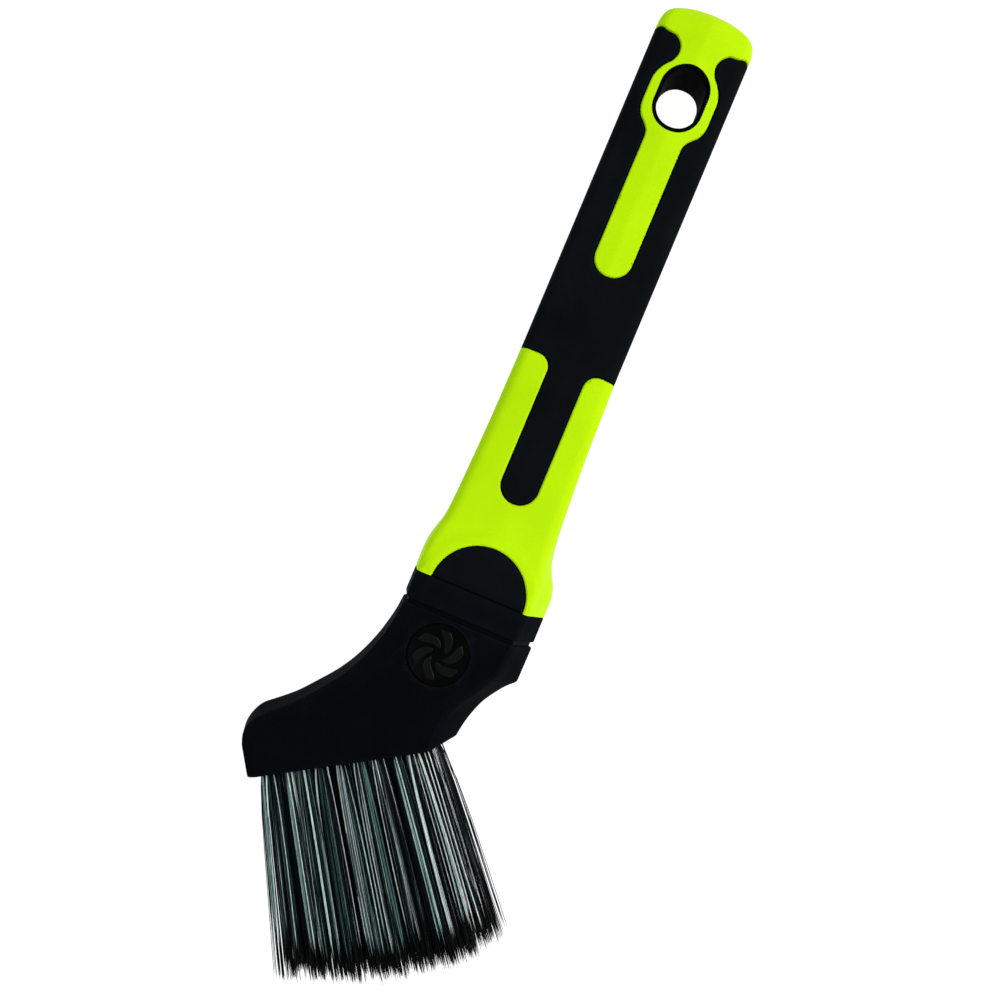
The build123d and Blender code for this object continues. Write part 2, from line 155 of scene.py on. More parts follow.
def moulded(name, base, vary, rough, rough_vary, grain_scale, grain, spec, speck=None, wear=0.0):
    """Moulded plastic or rubber: cloudy colour, fine grain bump, uneven gloss, worn edges."""
    mat, tree, bsdf, coord = principled(name)
    cloud = noise(tree, coord, 55.0, 5.0, 0.6)
    lo = [max(0.0, c * (1 - vary)) for c in base]
    hi = [min(1.0, c * (1 + vary)) for c in base]
    col = ramp(tree, cloud.outputs["Fac"], [(0.3, tuple(lo)), (0.7, tuple(hi))])
    colour = col.outputs["Color"]
    fine = noise(tree, coord, grain_scale * 1.7, 2.0, 0.5)
    mixg = tree.nodes.new("ShaderNodeMixRGB")
    mixg.blend_type = "MULTIPLY"
    mixg.inputs["Fac"].default_value = 0.55
    fr = ramp(tree, fine.outputs["Fac"], [(0.35, grey(1 - 1.6 * vary)), (0.62, grey(1.0))])
    tree.links.new(colour, mixg.inputs["Color1"])
    tree.links.new(fr.outputs["Color"], mixg.inputs["Color2"])
    colour = mixg.outputs["Color"]
    if wear:
        geo = tree.nodes.new("ShaderNodeNewGeometry")
        edge = ramp(tree, geo.outputs["Pointiness"], [(0.5, grey(0.0)), (0.56, grey(1.0))])
        mixw = tree.nodes.new("ShaderNodeMixRGB")
        mixw.inputs["Color2"].default_value = (*[min(1.0, c + wear * k) for c, k in zip(base, (0.75, 0.95, 1.3))], 1.0)
        scratch = noise(tree, coord, 420.0, 3.0, 0.6)
        mw = tree.nodes.new("ShaderNodeMath")
        mw.operation = "MULTIPLY"
        tree.links.new(edge.outputs["Color"], mw.inputs[0])
        tree.links.new(scratch.outputs["Fac"], mw.inputs[1])
        tree.links.new(mw.outputs[0], mixw.inputs["Fac"])
        tree.links.new(colour, mixw.inputs["Color1"])
        colour = mixw.outputs["Color"]
    if speck:
        vor = noise(tree, coord, speck[0], 1.0, 0.4)
        dots = ramp(tree, vor.outputs["Fac"], [(speck[1], grey(0.0)), (speck[1] + 0.02, grey(1.0))])
        mixs = tree.nodes.new("ShaderNodeMixRGB")
        mixs.inputs["Color2"].default_value = (*speck[2], 1.0)
        tree.links.new(dots.outputs["Color"], mixs.inputs["Fac"])
        tree.links.new(colour, mixs.inputs["Color1"])
        colour = mixs.outputs["Color"]
    tree.links.new(colour, bsdf.inputs["Base Color"])
    gl = noise(tree, coord, 130.0, 4.0, 0.6)
    rr = ramp(tree, gl.outputs["Fac"], [(0.25, grey(rough - rough_vary)), (0.75, grey(rough + rough_vary))])
    tree.links.new(rr.outputs["Color"], bsdf.inputs["Roughness"])
    g = noise(tree, coord, grain_scale, 3.0, 0.6)
    bump = tree.nodes.new("ShaderNodeBump")
    bump.inputs["Strength"].default_value = grain
    bump.inputs["Distance"].default_value = 0.00012
    tree.links.new(g.outputs["Fac"], bump.inputs["Height"])
    tree.links.new(bump.outputs["Normal"], bsdf.inputs["Normal"])
    bsdf.inputs["Specular IOR Level"].default_value = spec
    return mat


LIME = moulded("lime plastic", (0.515, 0.835, 0.0026), 0.045, 0.52, 0.07, 2600.0, 0.30, 0.016)
GRIP = moulded("grip rubber", (0.0040, 0.0049, 0.0066), 0.24, 0.70, 0.08, 2300.0, 0.45, 0.014, wear=0.003)
HEAD = moulded("head plastic", (0.0029, 0.0038, 0.0050), 0.26, 0.52, 0.08, 1900.0, 0.40, 0.0010, wear=0.006)
LINER = moulded("liner rubber", (0.0018, 0.0022, 0.0028), 0.2, 0.6, 0.08, 2300.0, 0.35, 0.004)
SEAM = moulded("seam shade", (0.0014, 0.0020, 0.0014), 0.2, 0.7, 0.06, 2300.0, 0.3, 0.03)
BADGE = moulded("badge plastic", (0.0012, 0.0015, 0.0014), 0.2, 0.45, 0.06, 1500.0, 0.15, 0.02)
BLOCK = moulded("block plastic", (0.0040, 0.0042, 0.0045), 0.2, 0.6, 0.08, 1700.0, 0.3, 0.1)
WIRE = moulded("anchor wire", (0.5, 0.5, 0.51), 0.1, 0.35, 0.08, 900.0, 0.2, 0.5)


BLADES = moulded("badge gloss", (0.0048, 0.0050, 0.0048), 0.2, 0.34, 0.05, 1500.0, 0.10, 0.07)


def fibre(name):
    """Drawn filaments: a tone for each strand, lengthwise streaks, dyed dark at the tips."""
    mat, tree, bsdf, coord = principled(name)
    att = tree.nodes.new("ShaderNodeAttribute")
    att.attribute_name = "strand"
    sep = tree.nodes.new("ShaderNodeSeparateColor")
    tree.links.new(att.outputs["Color"], sep.inputs["Color"])
    tone = ramp(tree, sep.outputs[0], [
        (0.0, (0.0005, 0.0011, 0.0034)), (0.40, (0.0022, 0.0050, 0.0110)), (0.55, (0.026, 0.060, 0.066)),
        (0.72, (0.15, 0.32, 0.28)), (0.88, (0.56, 0.80, 0.74)), (1.0, (1.0, 1.0, 1.0)),
    ])
    streak = noise(tree, coord, 1.0, 3.0, 0.6, stretch=((0, 0, -math.radians(31.0)), (35.0, 1200.0, 1200.0)))
    sr = ramp(tree, streak.outputs["Fac"], [(0.35, grey(0.70)), (0.60, grey(1.0))])
    mul = tree.nodes.new("ShaderNodeMixRGB")
    mul.blend_type = "MULTIPLY"
    mul.inputs["Fac"].default_value = 1.0
    tree.links.new(tone.outputs["Color"], mul.inputs["Color1"])
    tree.links.new(sr.outputs["Color"], mul.inputs["Color2"])
    hue = ramp(tree, sep.outputs[2], [(0.0, (1.0, 1.0, 0.94)), (0.45, (0.90, 1.0, 0.97)), (0.75, (0.93, 0.97, 1.0)), (1.0, (0.93, 0.88, 1.0))])
    tint = tree.nodes.new("ShaderNodeMixRGB")
    tint.blend_type = "MULTIPLY"
    tint.inputs["Fac"].default_value = 1.0
    tree.links.new(mul.outputs["Color"], tint.inputs["Color1"])
    tree.links.new(hue.outputs["Color"], tint.inputs["Color2"])
    tipmix = tree.nodes.new("ShaderNodeMixRGB")
    tipmix.inputs["Color2"].default_value = (0.0016, 0.0018, 0.0022, 1.0)
    tree.links.new(sep.outputs[1], tipmix.inputs["Fac"])
    tree.links.new(tint.outputs["Color"], tipmix.inputs["Color1"])
    tree.links.new(tipmix.outputs["Color"], bsdf.inputs["Base Color"])
    g = noise(tree, coord, 700.0, 2.0, 0.5)
    rr = ramp(tree, g.outputs["Fac"], [(0.3, grey(0.34)), (0.7, grey(0.50))])
    tree.links.new(rr.outputs["Color"], bsdf.inputs["Roughness"])
    bump = tree.nodes.new("ShaderNodeBump")
    bump.inputs["Strength"].default_value = 0.15
    bump.inputs["Distance"].default_value = 0.00003
    tree.links.new(streak.outputs["Fac"], bump.inputs["Height"])
    tree.links.new(bump.outputs["Normal"], bsdf.inputs["Normal"])
    bsdf.inputs["Specular IOR Level"].default_value = 0.12
    return mat


FIBRE = fibre("bristle fibre")

# ------------------------------------------------------------------ handle surface
AXIS_Y, FEAT_Y = -1.0, -1.2
STATIONS = [
    (146.0, 0.05, 0.05, 0.02, 0.02, 2.2, 2.4, 1.2),
    (145.85, 3.6, 3.6, 0.3, 0.3, 3.0, 3.4, 1.6),
    (145.2, 6.9, 6.9, 0.3, 0.3, 4.3, 4.8, 2.2),
    (144.0, 10.4, 10.4, 0.3, 0.3, 5.6, 6.1, 2.8),
    (142.4, 12.75, 12.75, 0.3, 0.3, 6.7, 7.3, 3.2),
    (140.4, 13.85, 13.85, 0.3, 0.3, 7.4, 8.05, 3.4),
    (137.6, 14.25, 14.25, 0.3, 0.3, 7.9, 8.55, 3.5),
    (100.0, 14.25, 14.25, 0.3, 0.3, 7.9, 8.55, 3.5),
    (43.0, 14.25, 14.3, 0.3, 0.3, 7.9, 8.55, 3.5),
    (31.0, 14.35, 14.6, 0.3, 0.35, 8.05, 8.7, 3.5),
    (19.4, 14.5, 15.0, 0.3, 0.5, 8.2, 8.85, 3.5),
    (2.6, 15.0, 15.9, 0.4, 1.0, 9.0, 9.55, 3.4),
    (-8.7, 15.5, 16.8, 0.6, 1.8, 10.3, 10.75, 3.2),
    (-13.0, 15.95, 17.5, 0.8, 2.5, 11.2, 11.6, 3.0),
    (-17.2, 17.1, 19.1, 1.1, 3.8, 12.6, 12.9, 2.8),
    (-20.6, 17.8, 20.9, 1.4, 5.0, 13.6, 13.8, 2.4),
    (-24.6, 18.0, 21.6, 1.5, 5.7, 14.4, 14.55, 2.0),
    (-29.1, 17.9, 21.6, 1.5, 5.8, 14.75, 14.9, 1.8),
]


def monotone(xs, ys, q):
    """Smooth curve through the points that never overshoots."""
    h = np.diff(xs)
    d = np.diff(ys) / h
    m = np.zeros(len(xs))
    m[0], m[-1] = d[0], d[-1]
    for i in range(1, len(xs) - 1):
        if d[i - 1] * d[i] > 0:
            w1, w2 = 2 * h[i] + h[i - 1], h[i] + 2 * h[i - 1]
            m[i] = (w1 + w2) / (w1 / d[i - 1] + w2 / d[i])
    k = np.clip(np.searchsorted(xs, q) - 1, 0, len(xs) - 2)
    t = (q - xs[k]) / h[k]
    return (
        (1 + 2 * t) * (1 - t) ** 2 * ys[k] + t * (1 - t) ** 2 * h[k] * m[k]
        + t * t * (3 - 2 * t) * ys[k + 1] + t * t * (t - 1) * h[k] * m[k + 1]
    )


_st = np.array(STATIONS[::-1], float)


def section_values(x):
    return [float(monotone(_st[:, 0], _st[:, i], np.array([x]))[0]) for i in range(1, 8)]


def arc_points(p, q, r, radius, count):
    """Points of the rounding of corner q between p and r."""
    p, q, r = np.array(p), np.array(q), np.array(r)
    la, lb = np.linalg.norm(p - q), np.linalg.norm(r - q)
    a, b = (p - q) / la, (r - q) / lb
    half = math.acos(max(-1.0, min(1.0, float(a @ b)))) / 2
    reach = min(radius / math.tan(half), 0.48 * la, 0.48 * lb)
    radius = reach * math.tan(half)
    bis = (a + b) / np.linalg.norm(a + b)
    centre = q + bis * radius / math.sin(half)
    s, e = q + a * reach, q + b * reach
    s0 = math.atan2(*(s - centre)[::-1])
    sweep = (math.atan2(*(e - centre)[::-1]) - s0 + math.pi) % (2 * math.pi) - math.pi
    return [centre + radius * np.array((math.cos(s0 + sweep * k / (count - 1)), math.sin(s0 + sweep * k / (count - 1)))) for k in range(count)]


def smoothstep(a, b, v):
    t = min(1.0, max(0.0, (v - a) / (b - a)))
    return t * t * (3 - 2 * t)


def section_loop(x, inset):
    left, right, ll, lr, sh, rd, rc = section_values(x)
    sh -= 0.75 * smoothstep(-12.0, 14.0, x) * smoothstep(146.0, 144.0, x)
    sh, rd = max(0.3, sh - inset), max(0.4, rd - inset)
    a, b = max(0.02, right - inset), max(0.02, left - inset)
    lr, ll = min(lr, a * 0.5), min(ll, b * 0.5)
    z, y = MID_Z, AXIS_Y
    pts = [(y - a, z), (y - a + lr, z - sh), (y, z - rd), (y + b - ll, z - sh), (y + b, z), (y + b - ll, z + sh), (y, z + rd), (y - a + lr, z + sh)]
    counts = [5, 11, 9, 11, 5, 11, 9, 11]
    flat = max(0.003, math.atan2(rd - sh, max(a, b)))
    radii = [1.6, max(0.5, rc - inset), 0.9 / math.tan(flat), max(0.5, rc - inset)] * 2
    arcs = [arc_points(pts[i - 1], pts[i], pts[(i + 1) % 8], radii[i], counts[i]) for i in range(8)]
    loop = []
    between = [8, 10, 10, 8, 8, 10, 10, 8]
    for i in range(8):
        loop += arcs[i]
        e, s = arcs[i][-1], arcs[(i + 1) % 8][0]
        for k in range(1, between[i]):
            loop.append(e + (s - e) * k / between[i])
    return loop


def rim_swell(x, y, z):
    """Low raised collar of lime round the half-round pads."""
    r = math.hypot(x + 29.1, y + 2.2)
    h = abs(z - MID_Z)
    top = smoothstep(7.0, 9.5, h) if x < -8 else 0.0
    lift = 0.50 * (1.0 - smoothstep(15.7, 17.0, r)) * smoothstep(-29.1, -26.6, x) * top
    return math.copysign(lift, z - MID_Z)


def handle_mesh(name, inset, x_low, x_high):
    xs = sorted(set(
        list(np.arange(x_low, -8.0, 0.5)) + list(np.arange(-8.0, 43.0, 1.0)) + list(np.arange(43.0, 136.0, 1.5))
        + list(np.arange(136.0, 144.0, 0.4)) + list(np.arange(144.0, 145.8, 0.15)) + [145.8, 145.88, 145.94, 145.98, 145.999]
    ))
    xs = [x for x in xs if x_low <= x <= x_high]
    if xs[-1] < x_high - 0.01:
        xs.append(x_high)
    verts, faces = [], []
    loops = [section_loop(max(x, -29.1), inset) for x in xs]
    n = len(loops[0])
    for x, loop in zip(xs, loops):
        for p in loop:
            up = rim_swell(x, p[0], p[1])
            verts.append((x * MM, p[0] * MM, (p[1] + up) * MM))
    for i in range(len(xs) - 1):
        for k in range(n):
            a, b = i * n + k, i * n + (k + 1) % n
            faces.append((a, a + n, b + n, b))
    # end caps as fans
    for i, flip in ((0, False), (len(xs) - 1, True)):
        c = len(verts)
        verts.append((xs[i] * MM, AXIS_Y * MM, MID_Z * MM))
        for k in range(n):
            a, b = i * n + k, i * n + (k + 1) % n
            faces.append((b, a, c)[::-1] if not flip else (a, b, c)[::-1])
    ob = new_object(name, verts, faces)
    bm = bmesh.new()
    bm.from_mesh(ob.data)
    bmesh.ops.recalc_face_normals(bm, faces=bm.faces)
    bm.to_mesh(ob.data)
    bm.free()
    return ob


def prism_object(name, outline, z0=-10.0, z1=40.0):
    """Upright prism over a closed plan outline in mm."""
    pts = np.array(outline, float)
    area = 0.5 * np.sum(pts[:, 0] * np.roll(pts[:, 1], -1) - np.roll(pts[:, 0], -1) * pts[:, 1])
    if area < 0:
        pts = pts[::-1]
    n = len(pts)
    verts = [(p[0] * MM, p[1] * MM, z0 * MM) for p in pts] + [(p[0] * MM, p[1] * MM, z1 * MM) for p in pts]
    faces = [tuple(range(n))[::-1], tuple(range(n, 2 * n))]
    faces += [(k, (k + 1) % n, n + (k + 1) % n, n + k) for k in range(n)]
    return new_object(name, verts, faces, smooth=False)


def through(points, step=0.35, start=None, end=None):
    """Smooth curve through points, sampled evenly."""
    p = np.array(points, float)
    d = np.r_[0, np.cumsum(np.linalg.norm(np.diff(p, axis=0), axis=1) ** 0.5)]
    m = np.zeros_like(p)
    for i in range(1, len(p) - 1):
        h0, h1 = d[i] - d[i - 1], d[i + 1] - d[i]
        m[i] = ((p[i] - p[i - 1]) / h0 * h1 + (p[i + 1] - p[i]) / h1 * h0) / (h0 + h1)
    v0, v1 = (p[1] - p[0]) / (d[1] - d[0]), (p[-1] - p[-2]) / (d[-1] - d[-2])
    m[0] = v0 if start is None else np.array(start) / np.linalg.norm(start) * np.linalg.norm(v0)
    m[-1] = v1 if end is None else np.array(end) / np.linalg.norm(end) * np.linalg.norm(v1)
    out = []
    for i in range(len(p) - 1):
        h = d[i + 1] - d[i]
        n = max(2, int(np.linalg.norm(p[i + 1] - p[i]) / step))
        for k in range(n):
            t = k / n
            out.append((1 + 2 * t) * (1 - t) ** 2 * p[i] + t * (1 - t) ** 2 * h * m[i] + t * t * (3 - 2 * t) * p[i + 1] + t * t * (t - 1) * h * m[i + 1])
    out.append(p[-1])
    return [tuple(v) for v in out]


def grow_outline(outline, by):
    """Outline moved outwards by a distance."""
    p = np.array(outline, float)
    area = 0.5 * np.sum(p[:, 0] * np.roll(p[:, 1], -1) - np.roll(p[:, 0], -1) * p[:, 1])
    t = np.roll(p, -1, axis=0) - np.roll(p, 1, axis=0)
    t /= np.maximum(np.linalg.norm(t, axis=1)[:, None], 1e-9)
    nrm = np.c_[t[:, 1], -t[:, 0]] * (1 if area > 0 else -1)
    return [tuple(v) for v in p + nrm * by]


LOBE = [(135.4, 10.6), (134.9, 7.9), (132.8, 5.95), (130.6, 5.5), (128.3, 6.2), (126.0, 8.1), (123.6, 9.35), (121.2, 9.85)]
FOOT = [(114.6, 9.85), (111.2, 8.9), (108.9, 6.9), (107.3, 5.8), (105.2, 5.45)]


def tip_outline():
    half = [(170.0, 24.0), (136.4, 24.0), (136.3, 19.0), (136.3, 14.2)]
    half += through([(136.2, 13.0)] + LOBE, start=(-0.1, -1), end=(-1, 0))
    half += [(118.0, 9.85)]
    half += through(FOOT, start=(-1, 0), end=(-1, 0))
    for k in range(1, 24):
        half.append((105.2 - k * (105.2 - 70.95) / 24, 5.45))
    half += [(70.95 - 5.45 * math.sin(a), 5.45 * math.cos(a)) for a in np.linspace(0, math.pi / 2, 20)]
    up = [(x, FEAT_Y + y) for x, y in half]
    down = [(x, FEAT_Y - y) for x, y in half[::-1][1:]]
    return up + down


def neck_outline():
    y0, hw, r, px, end = -1.6, 5.5, 3.9, 38.8, -2.7
    half = [(-60.0, 34.0), (px, 34.0), (px, hw + r + 2.0)]
    half += [(px - r + r * math.cos(a), hw + r - r * math.sin(a)) for a in np.linspace(0, math.pi / 2, 16)]
    for k in range(1, 24):
        half.append((px - r - k * (px - r - end - hw) / 24, hw))
    half += [(end + hw - hw * math.sin(a), hw * math.cos(a)) for a in np.linspace(0, math.pi / 2, 20)]
    return [(x, y0 + y) for x, y in half] + [(x, y0 - y) for x, y in half[::-1][1:]]


def pad_outline(grow=0.0):
    r = 13.35 + grow
    base = -31.0 if grow == 0.0 else -28.78
    pts = [(base, -2.2 + r)] + [(-29.1 + r * math.sin(a), -2.2 + r * math.cos(a)) for a in np.linspace(0.03, math.pi - 0.03, 72)] + [(base, -2.2 - r)]
    return pts


def slot_outline(length, width, cx=119.3, cy=FEAT_Y):
    r, s = width / 2, (length - width) / 2
    pts = [(cx + s + r * math.sin(a), cy + r * math.cos(a)) for a in np.linspace(0, math.pi, 40)]
    pts += [(cx - s - r * math.sin(a), cy - r * math.cos(a)) for a in np.linspace(0, math.pi, 40)]
    return pts


def remove(*objects):
    for o in objects:
        me = o.data
        bpy.data.objects.remove(o)
        bpy.data.meshes.remove(me)


def round_edges(ob, tree, outlines, r, fine=0.28):
    """Rolls the outer edge of a cut zone over by r, with the mesh made finer there first."""
    pts = []
    for o in outlines:
        p = np.array(o + [o[0]], float)
        for a, b in zip(p[:-1], p[1:]):
            n = max(1, int(np.linalg.norm(b - a) / 0.08))
            pts += [a + (b - a) * k / n for k in range(n)]
    kd = KDTree(len(pts))
    for i, p in enumerate(pts):
        kd.insert((p[0] * MM, p[1] * MM, 0.0), i)
    kd.balance()

    def gap(co):
        return kd.find((co.x, co.y, 0.0))[2] / MM

    bm = bmesh.new()
    bm.from_mesh(ob.data)
    bmesh.ops.remove_doubles(bm, verts=bm.verts, dist=0.00002)
    bmesh.ops.triangulate(bm, faces=bm.faces)
    for _ in range(4):
        near = {v: gap(v.co) for v in bm.verts}
        cut = []
        for e in bm.edges:
            a, b = e.verts
            if e.calc_length() < fine * 1.5 * MM or min(near[a], near[b]) > r * 1.35:
                continue
            if abs(a.co.z - b.co.z) > 0.0022:
                continue
            cut.append(e)
        if not cut:
            break
        bmesh.ops.subdivide_edges(bm, edges=cut, cuts=1)
        bmesh.ops.triangulate(bm, faces=[f for f in bm.faces if len(f.verts) > 3])
    for v in bm.verts:
        d = gap(v.co)
        if d < r:
            loc, nrm, _, _ = tree.find_nearest(v.co)
            drop = r - math.sqrt(max(0.0, r * r - (r - d) ** 2))
            v.co = v.co - nrm * drop * MM
    bm.normal_update()
    bm.to_mesh(ob.data)
    bm.free()


GAP = 0.42
full = handle_mesh("full", 0.0, -29.1, 146.0)
sunk = handle_mesh("sunk", 0.62, -29.1, 145.4)
tip_cut = prism_object("tip_cut", tip_outline())
neck_cut = prism_object("neck_cut", neck_outline())
tip_wide = prism_object("tip_wide", grow_outline(tip_outline(), GAP))
neck_wide = prism_object("neck_wide", grow_outline(neck_outline(), GAP))
pad_cut = prism_object("pad_cut", pad_outline())
pad_small = prism_object("pad_small", pad_outline(-GAP))
rim_cut = prism_object("rim_cut", slot_outline(19.5, 14.3, 118.98))


def copy_of(ob, name):
    c = bpy.data.objects.new(name, ob.data.copy())
    coll.objects.link(c)
    return c


lime_tip = copy_of(full, "handle_tip_lime")
boolean(lime_tip, tip_cut, "INTERSECT")
boolean(lime_tip, rim_cut, "DIFFERENCE")
lime_neck = copy_of(full, "handle_neck_lime")
boolean(lime_neck, neck_cut, "INTERSECT")
boolean(lime_neck, pad_cut, "DIFFERENCE")
grip = copy_of(full, "grip_skin")
boolean(grip, tip_wide, "DIFFERENCE")
boolean(grip, neck_wide, "DIFFERENCE")
pads = copy_of(full, "neck_pads")
boolean(pads, pad_small, "INTERSECT")
seam = copy_of(sunk, "handle_seams")
boolean(seam, rim_cut, "DIFFERENCE")
surface = BVHTree.FromObject(full, bpy.context.evaluated_depsgraph_get())
round_edges(lime_tip, surface, [tip_outline()], 0.50)
round_edges(lime_neck, surface, [neck_outline(), pad_outline()], 0.50)
round_edges(grip, surface, [grow_outline(tip_outline(), GAP), grow_outline(neck_outline(), GAP)], 0.30)
round_edges(pads, surface, [pad_outline(-GAP)], 0.35)


def liner_mesh(name):
    """Closed ring lining the hole, its lip rolled over at both faces."""
    lip = [(1.12, 2.0), (1.12, 0.16), (1.07, 0.05), (0.95, 0.0), (0.78, 0.02), (0.58, 0.12), (0.37, 0.30), (0.18, 0.56), (0.05, 0.86), (0.0, 1.2), (0.0, 2.6), (0.0, 4.6), (0.0, 6.4)]
    loops = []
    for e, depth in lip:
        ring = []
        for x, y in slot_outline(17.1 + 2 * e, 11.9 + 2 * e, 119.3 - 0.32 * e / 1.12):
            hit = surface.ray_cast(Vector((x * MM, y * MM, 0.05)), Vector((0, 0, -1)))[0]
            ring.append((x, y, hit.z / MM - depth))
        loops.append(np.array(ring))
    loops += [np.c_[p[:, :2], 2 * MID_Z - p[:, 2]] for p in loops[::-1]]
    n, m = len(loops), len(loops[0])
    verts = [tuple(v * MM) for p in loops for v in p]
    faces = [(i * m + k, i * m + (k + 1) % m, ((i + 1) % n) * m + (k + 1) % m, ((i + 1) % n) * m + k) for i in range(n) for k in range(m)]
    ob = new_object(name, verts, faces)
    bm = bmesh.new()
    bm.from_mesh(ob.data)
    bmesh.ops.recalc_face_normals(bm, faces=bm.faces)
    bm.to_mesh(ob.data)
    bm.free()
    return ob


liner = liner_mesh("hole_liner")
remove(full, sunk, tip_cut, neck_cut, tip_wide, neck_wide, pad_cut, pad_small, rim_cut)

for ob, slot, mat, cad in (
    (lime_tip, "lime_plastic", LIME, ("handle_body",)),
    (lime_neck, "lime_plastic", LIME, ()),
    (grip, "grip_rubber", GRIP, ("grip_sleeve",)),
    (liner, "grip_rubber", LINER, ("hang_hole_liner",)),
    (pads, "grip_rubber", GRIP, ("neck_pad_front", "neck_pad_back")),
    (seam, "grip_rubber", SEAM, ()),
):
    smooth_by_angle(ob, 42.0)
    finish_piece(ob, mat)
    if cad:
        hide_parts(*cad)

# ------------------------------------------------------------------ head, collar, badge, block, anchors
BETA = math.radians(31.0)
NX, NY, TX, TY = -math.cos(BETA), -math.sin(BETA), math.sin(BETA), -math.cos(BETA)


def face_pt(t, n=66.3):
    return (n * NX + t * TX, n * NY + t * TY)


HEAD_X = -38.15
WALL_IN = dict(
    a=(HEAD_X, 16.8), left=[(-42.9, 17.3), (-49.7, 18.8), (-54.8, 20.5), (-60.0, 22.8), (-65.1, 25.9), (-70.2, 29.9), (-75.3, 34.2), (-78.8, 37.9)],
    b=(-82.2, 41.8), heel=[(-85.2, 43.4), (-88.0, 44.1), (-90.7, 44.0)], c=(-93.2, 43.0), d=face_pt(-83.9), e=face_pt(-25.3),
    right=[(-67.6, -12.75), (-63.4, -13.6), (-58.25, -15.4), (-54.8, -17.4), (-51.4, -19.9)], f=(-48.85, -22.5), g=(HEAD_X, -22.6),
)
WALL_UP = dict(
    a=(HEAD_X, 15.3), left=[(-43.1, 15.85), (-50.1, 17.35), (-55.4, 19.1), (-60.7, 21.5), (-65.9, 24.7), (-71.1, 28.7), (-76.4, 33.2), (-79.8, 36.8)],
    b=(-82.9, 39.8), heel=[(-85.6, 41.4), (-88.3, 41.8)], c=(-91.4, 40.9), d=face_pt(-81.9), e=face_pt(-31.6),
    right=[(-67.8, -6.9), (-62.4, -7.7), (-58.6, -9.3), (-54.3, -12.0), (-49.6, -14.6)], f=(-46.3, -16.3), g=(HEAD_X, -17.1),
)
FACE_IN = dict(
    a=(HEAD_X, 12.2), left=[(-43.8, 12.6), (-51.3, 13.7), (-57.0, 15.4), (-62.6, 17.9), (-68.1, 21.2), (-73.6, 25.4), (-79.1, 30.3), (-82.3, 33.9)],
    b=(-84.4, 36.0), heel=[(-86.7, 37.3), (-89.0, 37.7)], c=(-91.4, 37.3), d=face_pt(-79.4), e=face_pt(-32.3),
    right=[(-67.6, -6.2), (-62.2, -7.0), (-58.2, -8.7), (-53.9, -11.4), (-49.2, -14.0)], f=(-45.9, -15.7), g=(HEAD_X, -16.4),
)


def even(points, n):
    """n evenly spaced points along a polyline, without its last point."""
    p = np.array(points, float)
    d = np.r_[0, np.cumsum(np.linalg.norm(np.diff(p, axis=0), axis=1))]
    q = np.linspace(0, d[-1], n + 1)[:-1]
    return np.c_[np.interp(q, d, p[:, 0]), np.interp(q, d, p[:, 1])]


def head_loop(o):
    side = np.array(through([o["a"], *o["left"], o["b"], *o["heel"], o["c"]], 0.2))
    at = int(np.argmin(np.linalg.norm(side - np.array(o["b"]), axis=1)))
    parts = [
        even(side[:at + 1], 104),
        even(side[at:], 30),
        even([o["c"], o["d"]], 18),
        even([o["d"], o["e"]], 100),
        even(through([o["e"], *o["right"], o["f"]], 0.2), 50),
        even([o["f"], o["g"]], 18),
        even([o["g"], o["a"]], 60),
    ]
    p = np.vstack(parts)
    for _ in range(1):
        p = 0.5 * p + 0.25 * (np.roll(p, 1, axis=0) + np.roll(p, -1, axis=0))
    return p


def bend(a, c, b, reach, n):
    """Rounding of corner c on the way from a to b, for arrays of points."""
    la = np.linalg.norm(a - c, axis=1)[:, None]
    lb = np.linalg.norm(b - c, axis=1)[:, None]
    s = c + (a - c) / la * np.minimum(reach, 0.46 * la)
    e = c + (b - c) / lb * np.minimum(reach, 0.46 * lb)
    return [(1 - t) ** 2 * s + 2 * t * (1 - t) * c + t * t * e for t in np.linspace(0, 1, n)]


def skin(name, loops, smooth_angle=38.0):
    """Closed mesh through equal loops of 3-D points in mm, with flat caps."""
    n = len(loops[0])
    verts = [tuple(v * MM) for loop in loops for v in loop]
    faces = []
    for i in range(len(loops) - 1):
        for k in range(n):
            a, b = i * n + k, i * n + (k + 1) % n
            faces.append((a, b, b + n, a + n))
    faces.append(tuple(range(n))[::-1])
    faces.append(tuple(range((len(loops) - 1) * n, len(loops) * n)))
    ob = new_object(name, verts, faces)
    bm = bmesh.new()
    bm.from_mesh(ob.data)
    bmesh.ops.recalc_face_normals(bm, faces=bm.faces)
    bm.to_mesh(ob.data)
    bm.free()
    return ob


def at_z(p, z):
    return np.c_[p, np.full(len(p), float(z))]


